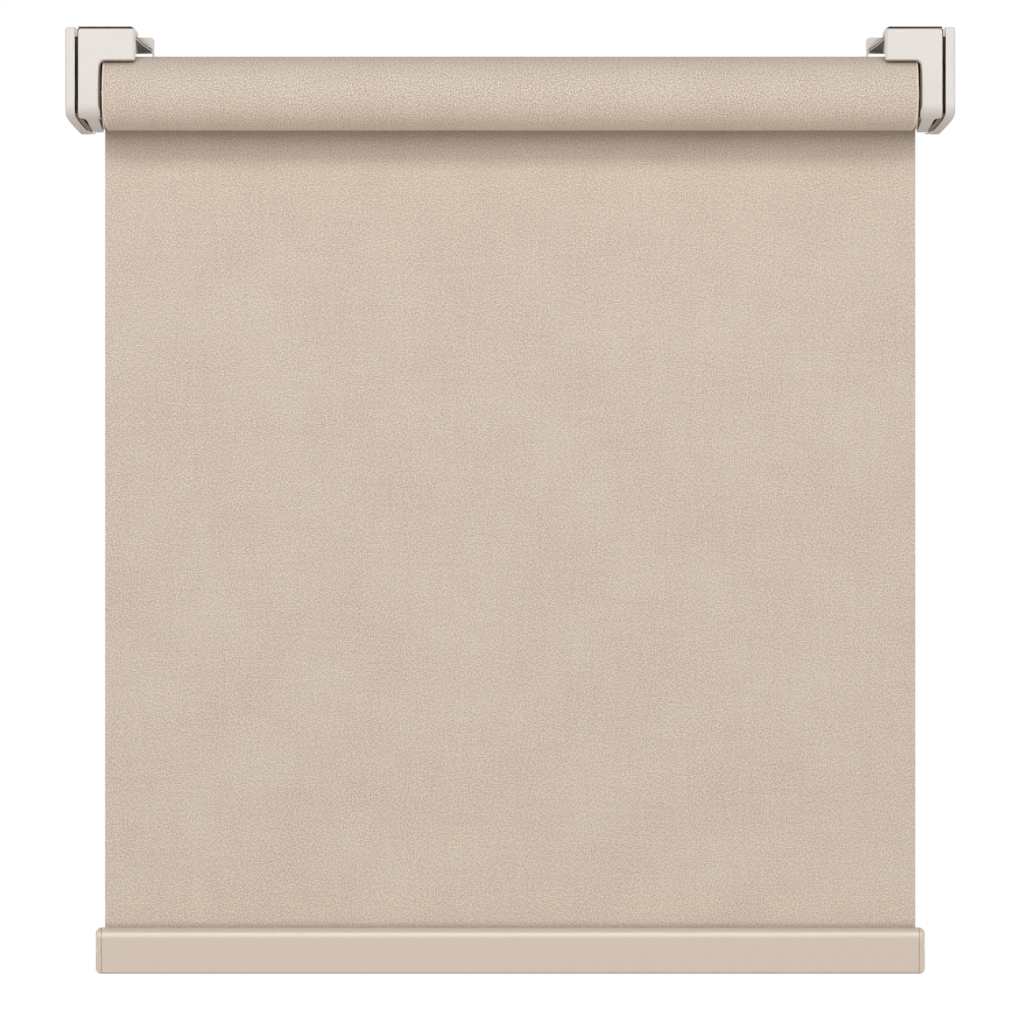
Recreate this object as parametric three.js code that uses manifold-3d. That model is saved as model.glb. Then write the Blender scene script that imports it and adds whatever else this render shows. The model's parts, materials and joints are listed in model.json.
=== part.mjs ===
// Cordless blackout roller blind with a wound roller, two moulded corner brackets and a bottom bar.
// Millimetres. X runs along the roller, -Y faces the room and +Z is up.
// The origin lies on the wall plane, at the height of the roller's axis, midway between the brackets.

import * as THREE from "three";
import { mergeVertices } from "three/addons/utils/BufferGeometryUtils.js";
import Module from "manifold-3d";

const wasm = await Module();
wasm.setup();

// Whole blind
const overallWidth = 600;
const axisToWall = 29.6;
const seatGap = 0.3;
const cutOverrun = 5;

// Fabric, narrower than the blind by what the brackets take at each end
const fabricInset = 25;
const fabricThickness = 0.45;
const woundLength = 1571;
const dropLength = 564.8;

// Roller tube and its locating groove
const tubeRadius = 20;
const tubeWall = 0.8;
const grooveWidth = 6;
const grooveDepth = 2;
const tapeThickness = 1.2;

// End plugs of the tube
const crownFlange = 1.5;
const crownWall = 2.8;
const crownDepth = 30;
const crownWeb = 3;
const crownRibs = 6;
const crownRibWidth = 1.6;
const crownRibLengthShare = 0.75;
const crownRibTurnShare = 0.5;

// Spring-loaded idle pin
const pinRadius = 3;
const pinEngagement = 6.5;
const pinTipChamfer = 0.9;
const pinCollarRadius = 4.9;
const pinCollarWidth = 2;
const pinTailRadius = 2;
const pinTailLength = 7.5;
const pinBoreDepth = 24;
const pinBossWall = 2;
const pinSpringWire = 0.9;
const pinSpringTurns = 8;

// Fixed shaft of the lift spring, with its flat tongue
const shaftRadius = 3;
const tongueThickness = 3;
const tongueHeight = 8;
const tongueCornerRadius = 0.75;
const tongueStart = 1;
const shaftGrooveDepth = 0.7;
const shaftTail = 4;
const clipRadius = 5.8;
const clipThickness = 1;
const clipMouth = 3.6;

// Lift spring, its two plugs and the holding brake
const springMeanRadius = 7;
const springWire = 1.6;
const springTurns = 26;
const springLength = 122;
const springOnHub = 10;
const anchorFlangeRadius = 11;
const anchorFlange = 4;
const drumRadius = 9;
const drumLength = 34;
const crownHubRadius = 6.5;
const crownHubLength = 12;
const brakeWire = 1.2;
const brakeTurns = 6;
const brakeLength = 12;
const carrierLength = 22;
const carrierHubWall = 3;

// Moulded brackets, measured on the right one
const bracketProjection = 48.5;
const bracketTop = 44.7;
const bracketWall = 3;
const bandOverlap = 0.9;
const bandWidth = 3.9;
const bandSetback = 2.6;
const bandTop = 14;
const hollowWidth = 5;
const hollowRise = 1.5;
const rearWall = 2.5;
const curveStartDrop = 7.5;
const armBottomDrop = 25.6;
const wallTuck = 7;
const topFrontRadius = 2;
const rollClearance = 1;
const ceilingThickness = 3.6;
const ceilingRibWidth = 1.4;
const ceilingRibHeight = 5;
const ceilingRibShares = [0.14, 0.67];
const hoodCornerRadius = 3.6;
const hoodSideWall = 2.5;
const hoodFrontEdge = 25;
const hoodRearEdge = 30;
const lipThickness = 0.4;
const lipSetback = 1;
const lipEnd = 1.3;

// Wall flange with its screw window, and the sloping gusset
const flangeInset = 11;
const flangeTop = 39.3;
const flangeBottom = 8;
const flangeCornerRadius = 2.5;
const windowRim = 1.2;
const windowTop = 28.3;
const windowHeight = 14.2;
const windowWidth = 19;
const windowCornerRadius = 1;
const gussetThickness = 2.2;
const gussetFrontTop = 38.7;
const gussetRearTop = 31.3;
const gussetFrontSetback = 6.7;
const gussetRearWidth = 9.8;
const gussetBendDepthShare = 0.5;
const gussetBendWidthShare = 0.4;
const gussetGroove = 0.6;
const gussetGrooveDrop = 0.5;
const gussetGrooveDepth = 1.6;

// Screw holes of the brackets
const screwHoleRadius = 2.3;
const upperScrewRise = 33;
const lowerScrewDrop = 9;
const ceilingScrewSetback = 16;
const ceilingScrewInset = 11;

// L-shaped clip-on covers
const coverWidth = 38.5;
const coverArmWidth = 14.7;
const coverTopDrop = 1.5;
const coverHeadHeight = 22.1;
const coverDepth = 6.2;
const coverWall = 1.5;
const coverEdgeRadius = 0.5;
const coverCornerRadius = 2.4;
const coverFilletRadius = 3;
const headSlope = 1.8;
const innerSlope = 1.2;
const slopeDepth = 2.2;
const notchDrop = 17.35;
const notchWidth = 4.9;
const notchCornerRadius = 2;
const notchTipRadius = 1.4;
const notchTuck = 3.6;
const nibDrop = 16.6;
const nibHeight = 1;
const nibReach = 0.9;
const footSetback = 1.3;
const armTuck = 0.9;
const coverFootToWall = 7.5;
const spigotLength = 4;
const spigotRoot = 2;

// Outer end caps
const capWidth = 6.4;
const capGap = 2.3;
const capTopDrop = 0.7;
const capBottomDrop = 26.4;
const capWall = 2;
const capEdgeRadius = 1.5;
const capCornerRadius = 2;
const capTuck = 8.8;
const capTuckStart = 14;
const tuckBendShare = 0.3;
const capTabDrop = 0.8;
const capTabHeight = 6.4;
const capTabDepth = 16;
const capTabSetback = 1.4;
const prongLength = 6.2;
const prongThickness = 2;
const prongHeight = 7;
const prongHook = 0.8;
const prongRise = 22;
const prongDrop = 6;
const prongSetback = 30;

// Seats for the pin and the tongue
const seatBarrelRadius = 6;
const seatFlangeRadius = 8.5;
const seatFlange = 2;

// Bottom rail, a little longer than the fabric is wide
const railOverhang = 2.1;
const railHeight = 31.2;
const railFront = 14;
const railBack = 1.35;
const railWall = 1.3;
const railTopRadius = 4;
const railCornerRadius = 2.2;
const railHollowRadius = 0.7;
const railSlotClearance = 0.5;
const railChannelRadius = 2.6;
const railChannelDrop = 4.2;
const railCapThickness = 3.6;
const railCapCornerRadius = 3.8;
const railCapEdgeRadius = 1;
const railPlugLength = 12;
const splineRadius = 1.9;

// Facets of round surfaces
const rollFacets = 48;
const tubeFacets = 40;
const plugFacets = 24;
const pinFacets = 12;
const curveFacets = 2;
const railFacets = 4;
const ellipseFacets = 8;
const bevelFacets = 2;
const coilSteps = 8;
const wireSides = 5;

// Sizes that follow from the ones above
const halfWidth = overallWidth / 2;
const halfFabric = halfWidth - fabricInset;
const halfRail = halfFabric + railOverhang;
const capInnerX = halfWidth - capWidth;
const armOuterX = capInnerX - capGap;
const armInnerX = armOuterX - coverArmWidth;
const headInnerX = armOuterX - coverWidth;
const pinTipX = armInnerX + pinEngagement;
const coverTop = bracketTop - coverTopDrop;
const headBottom = coverTop - coverHeadHeight;
const rollRadius = Math.sqrt(tubeRadius ** 2 + (woundLength * fabricThickness) / Math.PI);
const dropBackY = rollRadius - axisToWall;
const dropFrontY = dropBackY - fabricThickness;
const dropMiddleY = (dropBackY + dropFrontY) / 2;
const railTopZ = -dropLength;
const railBottomZ = railTopZ - railHeight;
const channelZ = railTopZ - railChannelDrop;
const tubeInnerRadius = tubeRadius - tubeWall;
const plugRadius = tubeInnerRadius - seatGap;
const keyDepth = grooveDepth + tubeWall;
const keyWidth = grooveWidth + 2 * tubeWall;
const crownInnerX = halfFabric - crownFlange;
const webInnerX = halfFabric - crownWeb;
const coverBackY = coverDepth - bracketProjection;
const bodyFrontY = coverBackY + seatGap;
const spigotInset = coverWall + seatGap;
const coilChordShare = Math.cos(Math.PI / coilSteps);

// Turns a closed geometry into a solid that can be joined and cut
function solid(geometry) {
  const bare = geometry.clone();
  bare.deleteAttribute("normal");
  bare.deleteAttribute("uv");
  const merged = mergeVertices(bare);
  const vertProperties = new Float32Array(merged.attributes.position.array);
  const triVerts = new Uint32Array(merged.index.array);
  return new wasm.Manifold(new wasm.Mesh({ numProp: 3, vertProperties, triVerts }));
}

// Turns a solid back into a geometry
function geometryOf(body) {
  const mesh = body.getMesh();
  const geometry = new THREE.BufferGeometry();
  const corners = new Float32Array(mesh.vertProperties);
  geometry.setAttribute("position", new THREE.BufferAttribute(corners, mesh.numProp));
  geometry.setIndex(new THREE.BufferAttribute(new Uint32Array(mesh.triVerts), 1));
  const flat = geometry.toNonIndexed();
  flat.computeVertexNormals();
  return flat;
}

// The same geometry on the other side of the middle plane, with its faces still pointing out
function mirrored(geometry) {
  const copy = geometry.index ? geometry.toNonIndexed() : geometry.clone();
  const position = copy.attributes.position;
  const pointAt = (i) => new THREE.Vector3().fromBufferAttribute(position, i);
  for (let corner = 0; corner < position.count; corner += 3) {
    const [a, b, c] = [corner, corner + 1, corner + 2].map(pointAt);
    [a, c, b].forEach((point, i) => position.setXYZ(corner + i, -point.x, point.y, point.z));
  }
  copy.computeVertexNormals();
  return copy;
}

// Rounds the corner between two edges with the arc that touches them at entry and exit
function addArc(shape, entry, corner, exit) {
  const inward = corner.clone().sub(entry);
  const outward = exit.clone().sub(corner);
  const turn = Math.sign(inward.cross(outward));
  const halfAngle = (Math.PI - Math.abs(inward.angleTo(outward))) / 2;
  const radius = inward.length() * Math.tan(halfAngle);
  const normal = new THREE.Vector2(-inward.y, inward.x).setLength(turn * radius);
  const centre = entry.clone().add(normal);
  const start = entry.clone().sub(centre).angle();
  const end = exit.clone().sub(centre).angle();
  shape.absarc(centre.x, centre.y, radius, start, end, turn < 0);
}

// A closed outline through corners given as [across, up, radius], each rounded by its radius
function roundedOutline(corners) {
  const shape = new THREE.Shape();
  corners.forEach(([across, up, radius], i) => {
    const corner = new THREE.Vector2(across, up);
    const last = corners[(i + corners.length - 1) % corners.length];
    const next = corners[(i + 1) % corners.length];
    const entry = new THREE.Vector2(last[0], last[1]).sub(corner).setLength(radius).add(corner);
    const exit = new THREE.Vector2(next[0], next[1]).sub(corner).setLength(radius).add(corner);
    if (i === 0) {
      shape.moveTo(entry.x, entry.y);
    } else {
      shape.lineTo(entry.x, entry.y);
    }
    if (radius > 0) {
      addArc(shape, entry, corner, exit);
    }
  });
  shape.closePath();
  return shape;
}

function polygon(corners) {
  return new THREE.Shape(corners.map(([across, up]) => new THREE.Vector2(across, up)));
}

function circle(across, up, radius, sides) {
  const angles = Array.from({ length: sides }, (_, i) => (2 * Math.PI * i) / sides);
  return polygon(angles.map((angle) => [across + radius * Math.cos(angle), up + radius * Math.sin(angle)]));
}

function rectangle(left, right, bottom, top, radius = 0) {
  return roundedOutline([
    [left, bottom, radius],
    [right, bottom, radius],
    [right, top, radius],
    [left, top, radius],
  ]);
}

function extruded(shape, length, bevel, facets) {
  const geometry = new THREE.ExtrudeGeometry(shape, {
    depth: length - 2 * bevel,
    bevelEnabled: bevel > 0,
    bevelThickness: bevel,
    bevelSize: bevel,
    bevelOffset: -bevel,
    bevelSegments: bevelFacets,
    curveSegments: facets,
  });
  return geometry.translate(0, 0, bevel);
}

// An outline drawn in Y and Z, carried along X
function prismX(shape, fromX, toX, { bevel = 0, facets = curveFacets } = {}) {
  const geometry = extruded(shape, toX - fromX, bevel, facets);
  const turn = new THREE.Matrix4().makeBasis(
    new THREE.Vector3(0, 1, 0),
    new THREE.Vector3(0, 0, 1),
    new THREE.Vector3(1, 0, 0),
  );
  return solid(geometry.applyMatrix4(turn).translate(fromX, 0, 0));
}

// An outline drawn in X and Z, carried along Y
function prismY(shape, fromY, toY, { bevel = 0, facets = curveFacets } = {}) {
  const geometry = extruded(shape, toY - fromY, bevel, facets);
  const turn = new THREE.Matrix4().makeBasis(
    new THREE.Vector3(1, 0, 0),
    new THREE.Vector3(0, 0, 1),
    new THREE.Vector3(0, -1, 0),
  );
  return solid(geometry.applyMatrix4(turn).translate(0, toY, 0));
}

// An outline drawn in X and Y, carried up along Z
function prismZ(shape, fromZ, toZ, { facets = curveFacets } = {}) {
  return solid(extruded(shape, toZ - fromZ, 0, facets).translate(0, 0, fromZ));
}

// A profile of [X, radius] points turned about the roller's axis
function turned(profile, facets = plugFacets) {
  const points = profile.map(([x, radius]) => new THREE.Vector2(radius, x));
  if (THREE.ShapeUtils.area(points) < 0) {
    points.reverse();
  }
  const geometry = new THREE.LatheGeometry([...points, points[0]], facets);
  const turn = new THREE.Matrix4().makeBasis(
    new THREE.Vector3(0, 0, 1),
    new THREE.Vector3(1, 0, 0),
    new THREE.Vector3(0, 1, 0),
  );
  return solid(geometry.applyMatrix4(turn).translate(0, -axisToWall, 0));
}

function rod(fromX, toX, radius, facets = plugFacets) {
  return turned([[fromX, 0], [fromX, radius], [toX, radius], [toX, 0]], facets);
}

// A straight hole or pin along Y or Z
function rodAlong(axis, from, to, first, second, radius) {
  const make = axis === "Y" ? prismY : prismZ;
  return make(circle(first, second, radius, pinFacets), from, to);
}

// A wire wound about the roller's axis
class Coil extends THREE.Curve {
  constructor(fromX, toX, meanRadius, turns) {
    super();
    Object.assign(this, { fromX, toX, meanRadius, turns });
  }

  getPoint(t, target = new THREE.Vector3()) {
    const angle = 2 * Math.PI * this.turns * t;
    return target.set(
      this.fromX + (this.toX - this.fromX) * t,
      this.meanRadius * Math.cos(angle) - axisToWall,
      this.meanRadius * Math.sin(angle),
    );
  }
}

// The least gap between a wire's turns, measured between points more than half a turn apart
function leastGap(points, wire) {
  const apart = coilSteps / 2 + 1;
  const gapsFrom = (point, i) => points.slice(i + apart).map((other) => point.distanceTo(other));
  return Math.min(...points.flatMap(gapsFrom)) - wire;
}

function coil(fromX, toX, meanRadius, wire, turns) {
  const steps = turns * coilSteps;
  const path = new Coil(fromX + wire / 2, toX - wire / 2, meanRadius, turns);
  const gap = leastGap(path.getPoints(steps), wire);
  console.log(`coil of ${turns} turns: least gap between turns ${gap.toFixed(2)} mm`);
  const section = circle(0, 0, wire / 2, wireSides);
  return new THREE.ExtrudeGeometry(section, { steps, extrudePath: path, bevelEnabled: false });
}

// The brackets' outline from the side, drawn in by an inset: a straight front that ends in a long curve
function sideProfile(inset, top, bottomDrop) {
  const front = inset - bracketProjection;
  const high = top - inset;
  const curveStart = -curveStartDrop;
  const curveHeight = bottomDrop - inset - curveStartDrop;
  const radius = topFrontRadius;
  const shape = new THREE.Shape();
  shape.moveTo(cutOverrun, high);
  shape.lineTo(front + radius, high);
  shape.absarc(front + radius, high - radius, radius, Math.PI / 2, Math.PI, false);
  shape.lineTo(front, curveStart);
  shape.absellipse(0, curveStart, -front, curveHeight, Math.PI, 1.5 * Math.PI, false, 0);
  shape.lineTo(cutOverrun, inset - bottomDrop);
  shape.closePath();
  return shape;
}

// The same outline as a solid that is as wide as a bracket with its cap
function sideSolid(inset, top, bottomDrop, bevel = 0) {
  const outline = sideProfile(inset, top, bottomDrop);
  return prismX(outline, headInnerX - cutOverrun, halfWidth, { bevel, facets: ellipseFacets });
}

// The cover seen from the front. At its foot the outer edge steps in and both edges sweep inwards
function coverOutline(inset) {
  const corner = Math.max(coverCornerRadius - inset, 0);
  const bottom = inset - armBottomDrop;
  const notchX = armOuterX - notchWidth - inset;
  const notchZ = inset - notchDrop;
  return roundedOutline([
    [armOuterX - inset, coverTop - inset, corner],
    [headInnerX + inset, coverTop - inset, corner],
    [headInnerX + inset, headBottom + inset, corner],
    [armInnerX + inset, headBottom + inset, coverFilletRadius],
    [armInnerX + inset, -nibDrop, 0],
    [armInnerX - armTuck + inset, bottom, 0],
    [notchX - notchTuck, bottom, 0],
    [notchX, notchZ, notchCornerRadius],
    [armOuterX - inset, notchZ, notchTipRadius],
  ]);
}

// The height at which a swept foot's two tangents meet
function bendHeight(bottom) {
  return -capTuckStart - tuckBendShare * (-bottom - capTuckStart);
}

// A wall seen from the front that follows the end cap's inner edge, shifted by two amounts
function sweptWall(outerShift, innerShift) {
  const bottom = -capBottomDrop;
  const bendZ = bendHeight(bottom);
  const outerX = capInnerX + outerShift;
  const innerX = capInnerX + innerShift;
  const shape = new THREE.Shape();
  shape.moveTo(innerX, 0);
  shape.lineTo(outerX, 0);
  shape.lineTo(outerX, -capTuckStart);
  shape.quadraticCurveTo(outerX, bendZ, outerX - capTuck, bottom);
  shape.lineTo(innerX - capTuck, bottom);
  shape.quadraticCurveTo(innerX, bendZ, innerX, -capTuckStart);
  shape.closePath();
  return shape;
}

// The arm seen from the front, with its outer wall swept inwards beside the end cap
function armOutline(inset, top) {
  const outerX = armOuterX - inset;
  const bottom = inset - armBottomDrop;
  const shape = new THREE.Shape();
  shape.moveTo(armInnerX + inset, top);
  shape.lineTo(armInnerX + inset, -nibDrop);
  shape.lineTo(armInnerX - armTuck + inset, bottom);
  shape.lineTo(outerX - wallTuck, bottom);
  shape.quadraticCurveTo(outerX, bendHeight(bottom), outerX, -capTuckStart);
  shape.lineTo(outerX, top);
  shape.closePath();
  return shape;
}

// The space that the turning roll needs between the arms
function rollSpace() {
  return rod(0, armInnerX - rollClearance, rollRadius + rollClearance, rollFacets);
}

// L-shaped cover: a shallow tray whose lower end curves back under the arm
function frontCover() {
  const front = -bracketProjection;
  const outer = prismY(coverOutline(0), front, coverBackY + cutOverrun, { bevel: coverEdgeRadius })
    .intersect(sideSolid(0, coverTop, armBottomDrop));
  const inner = prismY(coverOutline(coverWall), front - cutOverrun, cutOverrun)
    .intersect(sideSolid(coverWall, coverTop, armBottomDrop));
  const depth = rectangle(headInnerX - cutOverrun, halfWidth, -bracketTop, bracketTop);
  let body = outer
    .intersect(prismY(depth, front - cutOverrun, coverBackY))
    .add(coverFoot())
    .subtract(inner)
    .subtract(footStep());
  for (const slope of coverSlopes()) {
    body = body.subtract(slope);
  }
  return body.add(nib()).subtract(rollSpace());
}

// What is cut off the front edge of a wall that stands at a place across the cover
function slopePlan(place, width) {
  const front = -bracketProjection;
  return polygon([
    [place - cutOverrun, front - cutOverrun],
    [place + width, front - cutOverrun],
    [place + width, front],
    [place, front + slopeDepth],
    [place - cutOverrun, front + slopeDepth],
  ]);
}

// The cover's sloping inner edges: beside the head, under it, round the fillet and down the arm
function coverSlopes() {
  const front = -bracketProjection;
  const filletX = armInnerX - coverFilletRadius;
  const filletZ = headBottom - coverFilletRadius;
  const under = polygon([
    [front - cutOverrun, headBottom - cutOverrun],
    [front + slopeDepth, headBottom - cutOverrun],
    [front + slopeDepth, headBottom],
    [front, headBottom + innerSlope],
    [front - cutOverrun, headBottom + innerSlope],
  ]);
  const cone = new THREE.CylinderGeometry(
    coverFilletRadius,
    coverFilletRadius + innerSlope,
    slopeDepth,
    plugFacets,
  );
  return [
    prismZ(slopePlan(headInnerX, headSlope), headBottom - cutOverrun, coverTop + cutOverrun),
    prismX(under, headInnerX - cutOverrun, filletX),
    solid(cone.translate(filletX, front + slopeDepth / 2, filletZ)),
    prismZ(slopePlan(armInnerX, innerSlope), -nibDrop, filletZ),
  ];
}

// Below the nib the cover's inner edge is set back, so that the bracket's own wall shows beside it
function footStep() {
  const bottom = -armBottomDrop;
  const outline = polygon([
    [armInnerX - cutOverrun, -nibDrop],
    [armInnerX + footSetback, -nibDrop],
    [armInnerX - armTuck, bottom],
    [armInnerX - armTuck, bottom - cutOverrun],
    [armInnerX - cutOverrun, bottom - cutOverrun],
  ]);
  return prismY(outline, -bracketProjection - cutOverrun, 0);
}

function nib() {
  const outline = polygon([
    [armInnerX + footSetback, -nibDrop],
    [armInnerX + footSetback, -nibDrop - nibHeight],
    [armInnerX - nibReach, -nibDrop - nibHeight],
    [armInnerX - nibReach, -nibDrop - nibHeight / 2],
  ]);
  return prismY(outline, -bracketProjection, -bracketProjection / 2)
    .intersect(sideSolid(0, coverTop, armBottomDrop))
    .subtract(sideSolid(coverWall, coverTop, armBottomDrop));
}

// The cover's tongue that follows the long curve under the arm
function coverFoot() {
  const bottom = -armBottomDrop - cutOverrun;
  const below = rectangle(headInnerX, halfWidth, bottom, -curveStartDrop);
  return prismY(coverOutline(0), -bracketProjection, -coverFootToWall)
    .intersect(sideSolid(0, coverTop, armBottomDrop))
    .intersect(prismY(below, -bracketProjection, 0))
    .subtract(sideSolid(coverWall, coverTop, armBottomDrop));
}

function hoodOutline(inset) {
  return roundedOutline([
    [headInnerX + inset, 0, 0],
    [armOuterX + cutOverrun * Math.sign(inset), 0, 0],
    [armOuterX + cutOverrun * Math.sign(inset), bracketTop - inset, 0],
    [headInnerX + inset, bracketTop - inset, hoodCornerRadius - inset],
  ]);
}

function hood() {
  const inner = roundedOutline([
    [headInnerX + hoodSideWall, -cutOverrun, 0],
    [armInnerX + bracketWall, -cutOverrun, 0],
    [armInnerX + bracketWall, bracketTop - ceilingThickness, 0],
    [headInnerX + hoodSideWall, bracketTop - ceilingThickness, coverCornerRadius],
  ]);
  const kept = polygon([
    [bodyFrontY, hoodFrontEdge],
    [0, hoodRearEdge],
    [0, bracketTop],
    [bodyFrontY, bracketTop],
  ]);
  return prismY(hoodOutline(0), bodyFrontY, 0, { facets: railFacets })
    .subtract(prismY(inner, bodyFrontY - cutOverrun, -rearWall))
    .intersect(prismX(kept, headInnerX, armInnerX + bracketWall));
}

// Stiffening ribs under the hood's ceiling
function ceilingRibs() {
  const ceiling = bracketTop - ceilingThickness;
  const left = headInnerX + hoodSideWall;
  return ceilingRibShares.map((share) => {
    const ribX = left + share * (armInnerX - left);
    const low = ceiling - ceilingRibHeight;
    const outline = rectangle(ribX, ribX + ceilingRibWidth, low, ceiling + ceilingThickness / 2);
    return prismY(outline, bodyFrontY, -rearWall / 2);
  });
}

// The arm: a box open to the front, whose inner wall carries the roller's end
function armBox() {
  const ceiling = bracketTop - ceilingThickness;
  const outer = prismY(armOutline(0, bracketTop), bodyFrontY, 0)
    .intersect(sideSolid(spigotInset, bracketTop + spigotInset, armBottomDrop));
  const inner = prismY(armOutline(bracketWall, ceiling), bodyFrontY - cutOverrun, -rearWall)
    .intersect(sideSolid(bracketWall, bracketTop, armBottomDrop));
  return outer.subtract(inner);
}

// The swept wall that fills the step between the end cap and the cover's notch
function notchWall() {
  const front = -bracketProjection;
  const back = -capWall - seatGap;
  const below = rectangle(headInnerX, halfWidth, -capBottomDrop, -bandTop);
  const beside = prismY(sweptWall(-seatGap, -bandWidth), front, back);
  const inCap = prismY(sweptWall(bandOverlap, -bandWidth), front, back)
    .intersect(sideSolid(capWall + seatGap, bracketTop, capBottomDrop));
  const foot = prismY(coverOutline(-seatGap), front, 0)
    .subtract(sideSolid(spigotInset, bracketTop, armBottomDrop));
  return beside
    .add(inCap)
    .intersect(sideSolid(0, bracketTop, capBottomDrop).translate([0, bandSetback, 0]))
    .intersect(prismY(below, front, back))
    .subtract(prismY(coverOutline(-seatGap), front, bodyFrontY))
    .subtract(foot);
}

// The dark hollow between that wall and the cover's foot
function notchHollow() {
  const front = -bracketProjection - cutOverrun;
  const left = armOuterX - notchWidth - hollowWidth;
  const side = rectangle(left, armOuterX, -capBottomDrop - cutOverrun, hollowRise - notchDrop);
  return prismY(sweptWall(-bandWidth, -2 * bandWidth - capTuck), front, -rearWall)
    .intersect(prismY(side, front, -rearWall));
}

// The rim that the cover clips over
function spigot() {
  const front = bodyFrontY - spigotLength;
  const back = bodyFrontY + spigotRoot;
  const ring = prismY(coverOutline(spigotInset), front, back)
    .intersect(sideSolid(spigotInset, coverTop, armBottomDrop));
  const inner = prismY(coverOutline(bracketWall), front - cutOverrun, back + cutOverrun)
    .intersect(sideSolid(bracketWall, coverTop, armBottomDrop));
  return ring.subtract(inner);
}

// The thin edge of the ceiling plate over the cover
function coverLip() {
  const front = lipSetback - bracketProjection;
  const back = bodyFrontY + spigotRoot;
  const over = rectangle(headInnerX + lipEnd, armOuterX, coverTop - coverCornerRadius, bracketTop);
  const options = { facets: railFacets };
  return prismY(hoodOutline(0), front, back, options)
    .subtract(prismY(hoodOutline(lipThickness), front - cutOverrun, back + cutOverrun, options))
    .intersect(prismY(over, front, back));
}

function wallFlange() {
  const left = headInnerX - flangeInset;
  const plate = roundedOutline([
    [left, flangeBottom, flangeCornerRadius],
    [armInnerX + bracketWall, flangeBottom, 0],
    [armInnerX + bracketWall, flangeTop, 0],
    [left, flangeTop, flangeCornerRadius],
  ]);
  const windowLeft = left + windowRim;
  const windowRight = windowLeft + windowWidth;
  const windowBottom = windowTop - windowHeight;
  const opening = rectangle(windowLeft, windowRight, windowBottom, windowTop, windowCornerRadius);
  return prismY(plate, -rearWall, 0).subtract(prismY(opening, -rearWall - cutOverrun, cutOverrun));
}

// A layer of the gusset between two depths below its top, seen from the side
function gussetLayer(high, low) {
  const frontY = gussetFrontSetback - bracketProjection;
  const rearY = -rearWall / 2;
  return polygon([
    [frontY, gussetFrontTop - high],
    [frontY, gussetFrontTop - low],
    [rearY, gussetRearTop - low],
    [rearY, gussetRearTop - high],
  ]);
}

// The gusset from above, with its free edge drawn in by an inset
function gussetPlan(inset) {
  const frontY = gussetFrontSetback - bracketProjection;
  const rootX = headInnerX + hoodSideWall / 2;
  const freeX = headInnerX - gussetRearWidth + inset;
  const bendX = headInnerX - gussetBendWidthShare * gussetRearWidth + inset;
  const bendY = frontY - gussetBendDepthShare * (frontY + rearWall);
  return polygon([
    [headInnerX + inset, frontY],
    [rootX + inset, frontY],
    [rootX + inset, -rearWall / 2],
    [freeX, -rearWall / 2],
    [freeX, -rearWall],
    [bendX, bendY],
  ]);
}

// The sloping gusset between the hood's side and the flange, with a groove along its free edge
function gusset() {
  const left = headInnerX - flangeInset;
  const grooveLow = gussetGrooveDrop + gussetGroove;
  const groove = prismX(gussetLayer(gussetGrooveDrop, grooveLow), left, headInnerX)
    .subtract(prismZ(gussetPlan(gussetGrooveDepth), 0, bracketTop));
  return prismX(gussetLayer(0, gussetThickness), left, headInnerX + hoodSideWall / 2)
    .intersect(prismZ(gussetPlan(0), 0, bracketTop))
    .subtract(groove);
}

function bracketHoles() {
  const armMiddleX = (armInnerX + armOuterX) / 2;
  const ceilingY = ceilingScrewSetback - bracketProjection + coverDepth;
  const back = -rearWall - cutOverrun;
  const under = bracketTop - 2 * ceilingThickness;
  const over = bracketTop + cutOverrun;
  return [
    rodAlong("Y", back, cutOverrun, armMiddleX, upperScrewRise, screwHoleRadius),
    rodAlong("Y", back, cutOverrun, armMiddleX, -lowerScrewDrop, screwHoleRadius),
    rodAlong("Z", under, over, armMiddleX, ceilingY, screwHoleRadius),
    rodAlong("Z", under, over, headInnerX + ceilingScrewInset, ceilingY, screwHoleRadius),
    rod(armInnerX - cutOverrun, armInnerX + bracketWall + cutOverrun, seatBarrelRadius + seatGap),
  ];
}

// The two prongs of the end cap stand this far in height from the axis
const prongHeights = [prongRise, -prongDrop];

function prongOutline(height, clearance) {
  const front = prongSetback - bracketProjection;
  return rectangle(
    front - clearance,
    front + prongHeight + clearance,
    height - prongThickness / 2 - clearance,
    height + prongThickness / 2 + prongHook + clearance,
  );
}

function bracket() {
  let body = hood().add(armBox()).add(notchWall()).add(spigot()).add(coverLip()).add(wallFlange());
  for (const rib of ceilingRibs()) {
    body = body.add(rib);
  }
  body = body.add(gusset()).subtract(rollSpace()).subtract(notchHollow());
  for (const hole of bracketHoles()) {
    body = body.subtract(hole);
  }
  for (const height of prongHeights) {
    const slot = prongOutline(height, seatGap);
    body = body.subtract(prismX(slot, armOuterX - bracketWall - cutOverrun, halfWidth));
  }
  return body;
}

// The end cap's outline seen from the front: straight, then swept inwards at its foot
function capBand(inset, innerX) {
  const outerX = halfWidth - inset;
  const top = bracketTop - capTopDrop - inset;
  const bottom = inset - capBottomDrop;
  const bendZ = bendHeight(bottom);
  const corner = Math.max(capCornerRadius - inset, 0);
  const shape = new THREE.Shape();
  shape.moveTo(innerX, top);
  shape.lineTo(outerX - corner, top);
  shape.absarc(outerX - corner, top - corner, corner, Math.PI / 2, 0, true);
  shape.lineTo(outerX, -capTuckStart);
  shape.quadraticCurveTo(outerX, bendZ, outerX - capTuck, bottom);
  shape.lineTo(innerX - capTuck, bottom);
  shape.quadraticCurveTo(innerX, bendZ, innerX, -capTuckStart);
  shape.closePath();
  return shape;
}

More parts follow.
